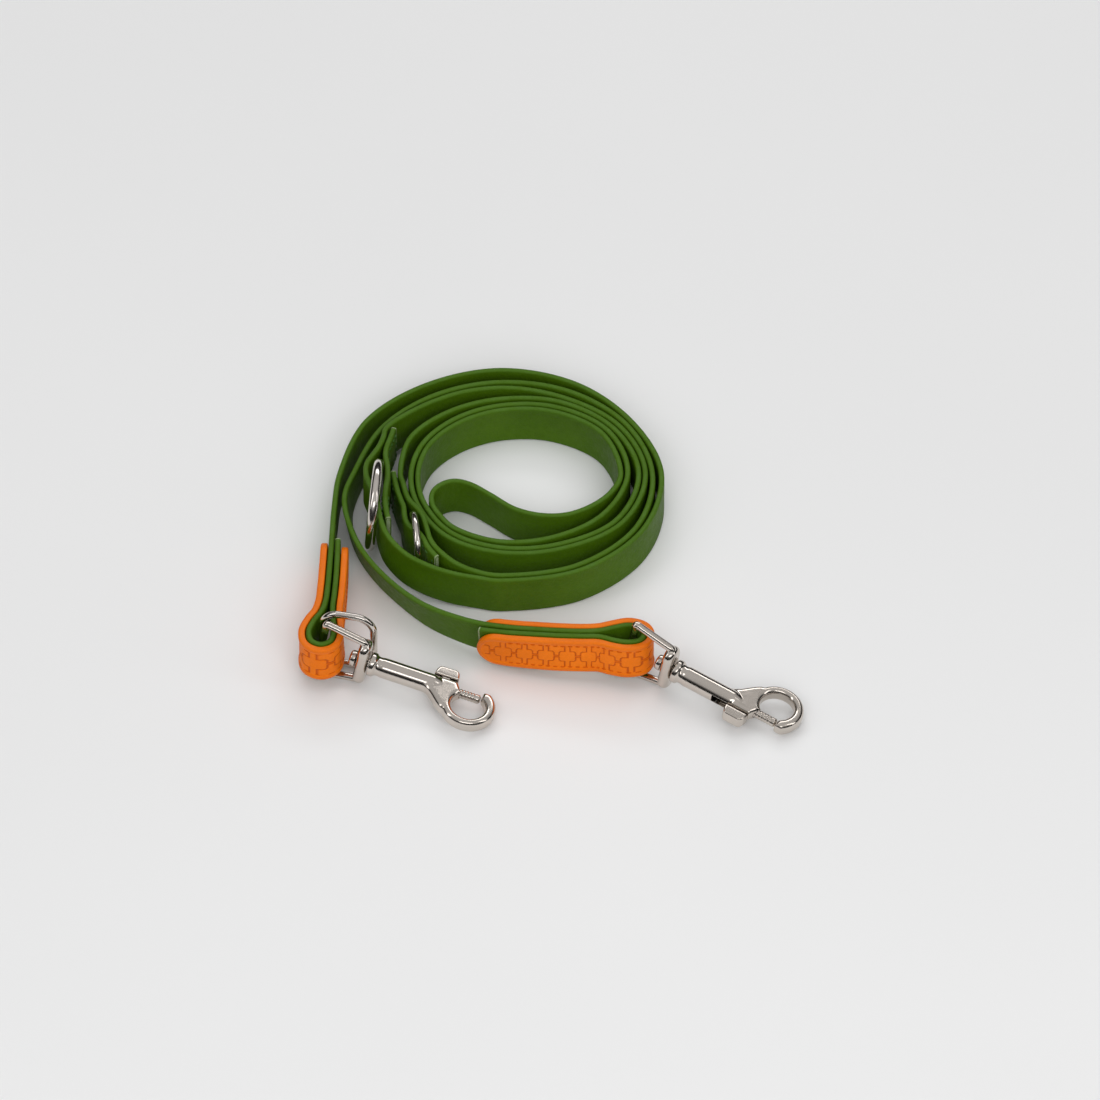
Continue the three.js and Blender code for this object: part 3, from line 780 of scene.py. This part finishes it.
def place_ring(name, node, loop, centre, turn, body):
    """A closed wire as a piece, turned and then moved to its centre."""
    points, faces = loop
    thing = piece(name, np.zeros((len(points), 3)), faces, [RING_NICKEL], body)
    move = Matrix.Translation(Vector((centre[0] + PLACE[0], centre[1] + PLACE[1], centre[2])) * MM)
    matrix = move @ turn @ Matrix.Scale(MM, 4)
    for vertex, point in zip(thing.data.vertices, points):
        vertex.co = matrix @ Vector(point)
    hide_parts(node)
    shade(thing)


def make_ring(node, centre, outer, wire, axis, body, steps=144):
    """A welded ring, with a faint bead where its ends are joined."""
    middle = (outer - wire) / 2
    angles = [2 * math.pi * i / steps for i in range(steps)]
    centres = [(middle * math.cos(a), middle * math.sin(a), 0) for a in angles]
    weld = math.radians(205)

    def radius_at(i):
        off = math.remainder(angles[i] - weld, 2 * math.pi) * middle
        return wire / 2 * (1 - 0.005 + 0.03 * math.exp(-(off / 0.9) ** 2))

    turn = Vector((0, 0, 1)).rotation_difference(Vector(axis).normalized()).to_matrix().to_4x4()
    place_ring(node + "_welded", node, wire_loop(centres, radius_at), centre, turn, body)


make_ring("large_ring", (-60.4, -18.9, 16), 32, 3.5, (0.994, -0.076, -0.076), "large_ring_body")
make_ring("small_ring", (-46.2, -34.2, 12.5), 22.5, 2.5, (0.993, 0.117, 0), "small_ring_body")


def oval(half_x, half_y, corner, steps=14):
    """Points round a rounded rectangle: an arc at each corner, with straight sides between."""
    points = []
    for cx, cy, start in ((1, 1, 0), (-1, 1, 90), (-1, -1, 180), (1, -1, 270)):
        for k in range(steps + 1):
            angle = math.radians(start + 90 * k / steps)
            points.append(((half_x - corner) * cx + corner * math.cos(angle),
                           (half_y - corner) * cy + corner * math.sin(angle), 0))
    return points


def make_end_ring(node, centre, wide, tall, wire, corner, heading, body):
    """The upright oval ring in the left end's loop."""
    centres = oval((wide - wire) / 2, (tall - wire) / 2, corner - wire / 2)
    turn = Matrix.Rotation(math.radians(heading), 4, "Z") @ Matrix.Rotation(math.pi / 2, 4, "X")
    place_ring(node + "_oval", node, wire_loop(centres, lambda i: wire / 2), centre, turn, body)


make_end_ring("end_ring", (-68.9, -81.07, 12.85), 20.5, 25.5, 2.5, 7.5, -12, "end_ring_body")


# ---- the snaps, in millimetres with +X along the barrel, until each is placed ----

SNAP_PITCH = math.radians(9.4)
EYE_HEIGHT = 13.3
SNAPS = {"left": ((-77.95, -85.1), -16.6, 180), "right": ((27.6, -84.8), -29.3, 0)}

EYE = {"deep": 2.8, "bar": 2.6, "half_back": 13, "half_front": 10.6, "front": 16.4}
COLLAR = {"from": 12.9, "to": 17, "half_wide": 4, "half_tall": 9.4}
FLANGE = {"from": 17.4, "to": 20, "radius": 4.2}
BARREL = {"to": 41.4, "radius": 3.55, "bore": 2.1, "bore_from": 22.6, "stud_bore": 1.6,
          "mouth_bore": 1.75}
HOOK = {"x": 54.4, "y": 5.1, "outer": 9.5, "hole": 5.9, "thick": 5, "mouth_from": 48.2, "mouth_to": 57.6}
STUD = {"from": 10.3, "head_to": 12.5, "head": 2.88, "shaft": 1.25, "to": 22.2}
BOLT = {"from": 36.3, "shoulder": 1.8, "rod": 1.58, "rings_from": 49.4, "rings": 6, "ring_pitch": 1.1,
        "to": 57.3}
SLOT = {"from": 33.6, "to": 47.6, "half": 1.4}
KNOB = {"from": 39.4, "to": 48.2, "near": 3.9, "far": 7.9, "thick": 4.6}
SPRING = {"from": 23, "to": 36, "coils": 7, "radius": 1.55, "wire": 0.26, "keep": 0.38}


def loose(name, points, faces):
    """A working object that rides on nothing yet, in millimetres."""
    mesh = bpy.data.meshes.new(name)
    mesh.from_pydata([tuple(p) for p in points], [], faces)
    mesh.update()
    return added(name, mesh)


def lathe(name, profile, sides=72):
    """A closed shape turned about the X axis, from (x, radius) pairs that start and end on the axis."""
    points = [(profile[0][0], 0, 0)]
    for x, radius in profile[1:-1]:
        for k in range(sides):
            angle = 2 * math.pi * k / sides
            points.append((x, radius * math.cos(angle), radius * math.sin(angle)))
    points.append((profile[-1][0], 0, 0))
    rows = len(profile) - 2
    faces = [face[::-1] for face in tube_faces(rows, sides, 1)]
    last = 1 + (rows - 1) * sides
    for k in range(sides):
        following = (k + 1) % sides
        faces.append((0, 1 + following, 1 + k))
        faces.append((len(points) - 1, last + k, last + following))
    thing = loose(name, points, faces)
    outward(thing)
    return thing


def outward(thing):
    """Makes the faces of a closed mesh point out."""
    shape = bmesh.new()
    shape.from_mesh(thing.data)
    bmesh.ops.recalc_face_normals(shape, faces=shape.faces)
    shape.to_mesh(thing.data)
    shape.free()


def rounded_profile(profile, radius=0.35, steps=4):
    """The same profile with a short curve at each corner between its ends."""
    points = [np.array(p, float) for p in profile]
    result = [points[0]]
    for before, corner, after in zip(points, points[1:], points[2:]):
        one = before - corner
        two = after - corner
        reach = min(radius, np.linalg.norm(one) * 0.45, np.linalg.norm(two) * 0.45)
        start = corner + one / np.linalg.norm(one) * reach
        end = corner + two / np.linalg.norm(two) * reach
        for k in range(steps + 1):
            t = k / steps
            result.append((1 - t) ** 2 * start + 2 * t * (1 - t) * corner + t ** 2 * end)
    result.append(points[-1])
    return [tuple(p) for p in result]


def plate(name, outlines, thick, bevel, steps=4):
    """A plate in the XY plane with rounded edges, from one closed outline and its holes."""
    curve = bpy.data.curves.new(name, "CURVE")
    curve.dimensions = "2D"
    curve.fill_mode = "BOTH"
    curve.extrude = thick / 2 - bevel
    curve.bevel_depth = bevel
    curve.bevel_resolution = steps
    curve.offset = -bevel
    for outline in outlines:
        spline = curve.splines.new("POLY")
        spline.points.add(len(outline) - 1)
        for point, (x, y) in zip(spline.points, outline):
            point.co = (x, y, 0, 1)
        spline.use_cyclic_u = True
    drawn = added(name, curve)
    bpy.context.view_layer.update()
    mesh = bpy.data.meshes.new_from_object(drawn.evaluated_get(bpy.context.evaluated_depsgraph_get()))
    bpy.data.objects.remove(drawn)
    return added(name, mesh)


def applied(thing, kind, **settings):
    """The object with one modifier worked out and kept."""
    modifier = thing.modifiers.new(kind, kind)
    for key, value in settings.items():
        setattr(modifier, key, value)
    bpy.context.view_layer.update()
    mesh = bpy.data.meshes.new_from_object(thing.evaluated_get(bpy.context.evaluated_depsgraph_get()))
    thing.modifiers.clear()
    thing.data = mesh
    return thing


def cast(name, parts, voxel, rounds, cuts=()):
    """Parts melted into one smooth casting, and then cut."""
    joined = bmesh.new()
    for part in parts:
        joined.from_mesh(part.data)
        bpy.data.objects.remove(part)
    mesh = bpy.data.meshes.new(name)
    joined.to_mesh(mesh)
    joined.free()
    thing = added(name, mesh)
    applied(thing, "REMESH", mode="VOXEL", voxel_size=voxel)
    applied(thing, "SMOOTH", factor=0.5, iterations=rounds)
    for tool in cuts:
        applied(thing, "BOOLEAN", operation="DIFFERENCE", object=tool, solver="EXACT")
        bpy.data.objects.remove(tool)
    return thing


def arc(cx, cy, radius, start, stop, steps):
    """Points round an arc from one angle to another, in radians."""
    return [(cx + radius * math.cos(start + (stop - start) * k / steps),
             cy + radius * math.sin(start + (stop - start) * k / steps)) for k in range(steps + 1)]


def bezier(p0, p1, p2, p3, steps=16):
    points = []
    for k in range(steps + 1):
        t = k / steps
        weights = ((1 - t) ** 3, 3 * t * (1 - t) ** 2, 3 * t * t * (1 - t), t ** 3)
        points.append(tuple(sum(w * p[a] for w, p in zip(weights, (p0, p1, p2, p3))) for a in (0, 1)))
    return points


def hook_outline():
    """The hook and the web that joins it to the barrel, open at the mouth that the bolt closes."""
    x, y, outer, hole = HOOK["x"], HOOK["y"], HOOK["outer"], HOOK["hole"]
    nose = HOOK["mouth_to"] - x
    end = BARREL["to"]
    outline = bezier((end - 5, 3.2), (end - 1, 3.4), (end + 0.5, 8.2), (x - 8, y + 5.7))[:-1]
    outline += arc(x, y, outer, math.pi - 0.62, -math.asin((y + 2.4) / outer), 64)
    outline += [(HOOK["mouth_to"], -2.4)]
    outline += arc(x, y + 0.5, hole, -math.acos(nose / hole), math.pi + 0.9, 64)
    outline += [(HOOK["mouth_from"], -3.2), (end - 5, -3.2)]
    return outline


def block(low, high):
    """A box between two corners, as a cutting tool or part of a casting."""
    corners = [(x, y, z) for x in (low[0], high[0]) for y in (low[1], high[1]) for z in (low[2], high[2])]
    faces = [(0, 1, 3, 2), (4, 6, 7, 5), (0, 4, 5, 1), (2, 3, 7, 6), (0, 2, 6, 4), (1, 5, 7, 3)]
    thing = loose("block", corners, faces)
    outward(thing)
    return thing


def rod(start, stop, radius, sides=48):
    return lathe("rod", [(start, 0), (start, radius), (stop, radius), (stop, 0)], sides)


def snap_body():
    """Flange, barrel and hook in one casting.

    It is bored for the stud, the spring and the bolt, and slotted for the knob's stem.
    """
    radius = BARREL["radius"]
    outside = lathe("outside", rounded_profile([
        (FLANGE["from"], 0), (FLANGE["from"], FLANGE["radius"]), (FLANGE["to"] - 0.6, FLANGE["radius"]),
        (FLANGE["to"], radius - 0.25), (FLANGE["to"] + 1.2, radius - 0.25), (FLANGE["to"] + 2, radius),
        (BARREL["to"] - 1, radius), (BARREL["to"] + 2, radius - 1), (BARREL["to"] + 2, 0)], 0.5), 96)
    hook = plate("hook", [hook_outline()], HOOK["thick"], 1.65, 8)
    cuts = [
        rod(FLANGE["from"] - 1, BARREL["bore_from"] + 1, BARREL["stud_bore"]),
        rod(BARREL["bore_from"], BARREL["to"] - 1, BARREL["bore"]),
        rod(BARREL["to"] - 2, HOOK["x"] - 2, BARREL["mouth_bore"]),
        block((SLOT["from"], -8, -SLOT["half"]), (SLOT["to"], 0, SLOT["half"])),
    ]
    return cast("snap_body", [outside, hook], voxel=0.16, rounds=26, cuts=cuts)


def snap_eye():
    """The eye: a wire frame round the strap's fold, and the collar that the swivel's stud turns in."""
    bar = EYE["bar"] / 2
    back, front_half, front = EYE["half_back"], EYE["half_front"], EYE["front"]
    lower = bezier((-bar, 2 - back), (-bar, 0.6 - back), (-0.4, -back), (1, -back), 8)
    lower += bezier((front - 3, -front_half), (front - 1, 0.2 - front_half), (front, 1.4 - front_half),
                    (front, -8), 8)
    outline = lower + [(x, -z) for x, z in reversed(lower)]
    low, high = front_half - EYE["bar"], back - EYE["bar"]
    opening = [(bar, -high), (front - EYE["bar"], -low), (front - EYE["bar"], low), (bar, high)]
    wire = plate("eye", [outline, opening], EYE["deep"], 1.25, 7)
    wire.data.transform(Matrix.Rotation(math.pi / 2, 4, "X"))
    tall, wide = COLLAR["half_tall"], COLLAR["half_wide"]
    outline = [(x, y) for x, y, _ in oval(tall, wide, 3.9, 12)]
    collar = plate("collar", [outline], COLLAR["to"] - COLLAR["from"], 1.9, 8)
    collar.data.transform(Matrix.Translation(((COLLAR["from"] + COLLAR["to"]) / 2, 0, 0))
                          @ Matrix.Rotation(math.pi / 2, 4, "Y"))
    bore = rod(COLLAR["from"] - 1, COLLAR["to"] + 1, BARREL["stud_bore"])
    return cast("snap_eye", [wire, collar], voxel=0.15, rounds=16, cuts=[bore])


def snap_stud():
    """A drum-shaped rivet head inside the eye, and a shaft through the collar into the barrel."""
    start, shaft = STUD["from"], STUD["shaft"]
    return lathe("snap_stud", rounded_profile([
        (start, 0), (start, 1.9), (10.6, 2.5), (11.1, 2.75), (STUD["head_to"], STUD["head"]), (12.6, shaft),
        (STUD["to"], shaft), (STUD["to"], 0)], 0.4), 64)


def snap_bolt():
    """The bolt: a shoulder that the spring pushes on, and a rod out to the hook's nose.

    The rod has fine turned rings where it crosses the hook's opening.
    """
    start, shoulder, thick = BOLT["from"], BOLT["shoulder"], BOLT["rod"]
    profile = [(start, 0), (start, shoulder), (39, shoulder), (39.4, thick)]
    for ring in range(BOLT["rings"]):
        x = BOLT["rings_from"] + ring * BOLT["ring_pitch"]
        profile += [(x, thick), (x + 0.15, 1.44), (x + 0.35, 1.44), (x + 0.5, thick)]
    profile += [(56.7, 1.6), (BOLT["to"], 1.0), (BOLT["to"], 0)]
    return lathe("snap_bolt", rounded_profile(profile, 0.12, 3), 64)


def snap_knob():
    """The thumb knob: a round-topped grip outside the slot, on a stem that reaches in to the bolt."""
    start, stop, near, far = KNOB["from"], KNOB["to"], KNOB["near"], KNOB["far"]
    left = bezier((start, -near), (start + 0.2, -near - 1.5), (start + 0.3, -far), (start + 2.2, -far), 10)
    outline = left + [(start + stop - x, y) for x, y in reversed(left)]
    grip = plate("grip", [outline], KNOB["thick"], 0.8, 5)
    middle = (start + stop) / 2
    stem = block((middle - 1.3, -near - 1, 0.3 - SLOT["half"]), (middle + 1.3, -2.0, SLOT["half"] - 0.3))
    return cast("snap_knob", [grip, stem], voxel=0.12, rounds=16)


def snap_spring(around=10, steps=26):
    """A helix of round wire in the barrel, drawn in so many steps to the turn."""
    rows = SPRING["coils"] * steps + 1
    wire = SPRING["wire"]
    points = []
    for share in np.linspace(0, 1, rows):
        turn = 2 * math.pi * SPRING["coils"] * share
        out = np.array([0, math.cos(turn), math.sin(turn)])
        centre = out * SPRING["radius"]
        centre[0] = SPRING["from"] + wire + (SPRING["to"] - SPRING["from"] - 2 * wire) * share
        for k in range(around):
            angle = 2 * math.pi * k / around
            points.append(centre + wire * (math.cos(angle) * out + math.sin(angle) * np.array([1, 0, 0])))
    last = (rows - 1) * around
    faces = tube_faces(rows, around) + [tuple(range(around)), tuple(range(last + around - 1, last - 1, -1))]
    thing = loose("snap_spring", points, faces)
    outward(thing)
    return thing


SNAP_PIECES = (
    ("eye", snap_eye, "eye", NICKEL, "nickel"),
    ("stud", snap_stud, "snap", NICKEL, "nickel"),
    ("body", snap_body, "snap", NICKEL, "nickel"),
    ("bolt", snap_bolt, "bolt", NICKEL, "nickel"),
    ("knob", snap_knob, "bolt", NICKEL, "nickel"),
    ("spring", snap_spring, "snap", STEEL, "spring_steel"),
)


def make_snaps():
    """Each piece of a snap is built once along the X axis, then placed on both sides."""
    for part, build, body, material, slot in SNAP_PIECES:
        model = build()
        for side, ((x, y), heading, turn) in SNAPS.items():
            thing = model.copy()
            thing.data = model.data.copy()
            thing.name = f"{side}_{part}_metal"
            bpy.context.scene.collection.objects.link(thing)
            place = (Matrix.Translation(Vector((x + PLACE[0], y + PLACE[1], EYE_HEIGHT)) * MM)
                     @ Matrix.Rotation(math.radians(heading), 4, "Z") @ Matrix.Rotation(SNAP_PITCH, 4, "Y"))
            if part != "eye":
                place = place @ Matrix.Rotation(math.radians(turn), 4, "X")
            place = place @ Matrix.Scale(MM, 4)
            thing.data.transform(place)
            thing.data.materials.clear()
            thing.data.materials.append(material)
            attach(thing, f"{side}_{body}")
            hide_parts(f"{side}_snap_{part}")
            shade(thing, 42)
            if part == "spring":
                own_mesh(thing)
        bpy.data.objects.remove(model)


make_snaps()

# ---- floor and light ----

FLOOR_HALF = 4  # metres
FLOOR_DROP = 0.0002  # metres below the leash
DOME = ((0.0, 0.02), (0.42, 0.05), (0.66, 0.8), (1.0, 1.0))  # height on the dome, brightness
DOME_STRENGTH = 0.58


def floor_material():
    n = Nodes("floor")
    return n.set(Base_Color=n.ramp(n.noise(3, 2), (0.3, 0.84), (0.7, 0.86)), Roughness=0.9,
                 Specular_IOR_Level=0.1)


def make_floor():
    mesh = bpy.data.meshes.new("floor")
    corners = ((-1, -1), (1, -1), (1, 1), (-1, 1))
    mesh.from_pydata([(x * FLOOR_HALF, y * FLOOR_HALF, 0) for x, y in corners], [], [(0, 1, 2, 3)])
    mesh.materials.append(floor_material())
    floor = added("floor", mesh)
    floor.location.z = -FLOOR_DROP


def add_light(name, location, size, power):
    """A rectangular light, pointed at the frame's origin and hidden from the camera."""
    data = bpy.data.lights.new(name, "AREA")
    data.shape = "RECTANGLE"
    data.size, data.size_y = size
    data.energy = power
    light = added(name, data)
    light.location = location
    light.rotation_euler = (-Vector(location)).to_track_quat("-Z", "Y").to_euler()
    light.visible_camera = False
    return light


def make_world():
    """A studio dome, dark up to and past the horizon, so that polished metal has dark streaks in it."""
    world = bpy.data.worlds.new("world")
    bpy.context.scene.world = world
    world.use_nodes = True
    tree = world.node_tree
    where = tree.nodes.new("ShaderNodeTexCoord")
    split = tree.nodes.new("ShaderNodeSeparateXYZ")
    ramp = tree.nodes.new("ShaderNodeValToRGB")
    tree.links.new(where.outputs["Generated"], split.inputs["Vector"])
    tree.links.new(split.outputs["Z"], ramp.inputs["Fac"])
    set_stops(ramp, DOME)
    tree.links.new(ramp.outputs["Color"], tree.nodes["Background"].inputs["Color"])
    tree.nodes["Background"].inputs["Strength"].default_value = DOME_STRENGTH


def make_lights():
    """Two broad lights that polished metal does not mirror, and narrow strips that it does."""
    add_light("top", (0.0, 0.35, 1.2), (1.3, 0.9), 2.6).visible_glossy = False
    add_light("front", (0.1, -1.3, 0.9), (1.6, 0.8), 9.2).visible_glossy = False
    add_light("back_strip", (0.1, 1.0, 0.9), (1.2, 0.3), 2.8)
    add_light("left_strip", (-1.0, -0.3, 0.8), (0.25, 1.0), 1.6)
    add_light("right_strip", (1.0, -0.3, 0.7), (0.25, 0.9), 1.3)
    add_light("front_strip", (0.1, -1.1, 1.15), (1.1, 0.3), 2.8)


make_floor()
make_world()
make_lights()
bpy.context.scene.view_settings.view_transform = "Standard"
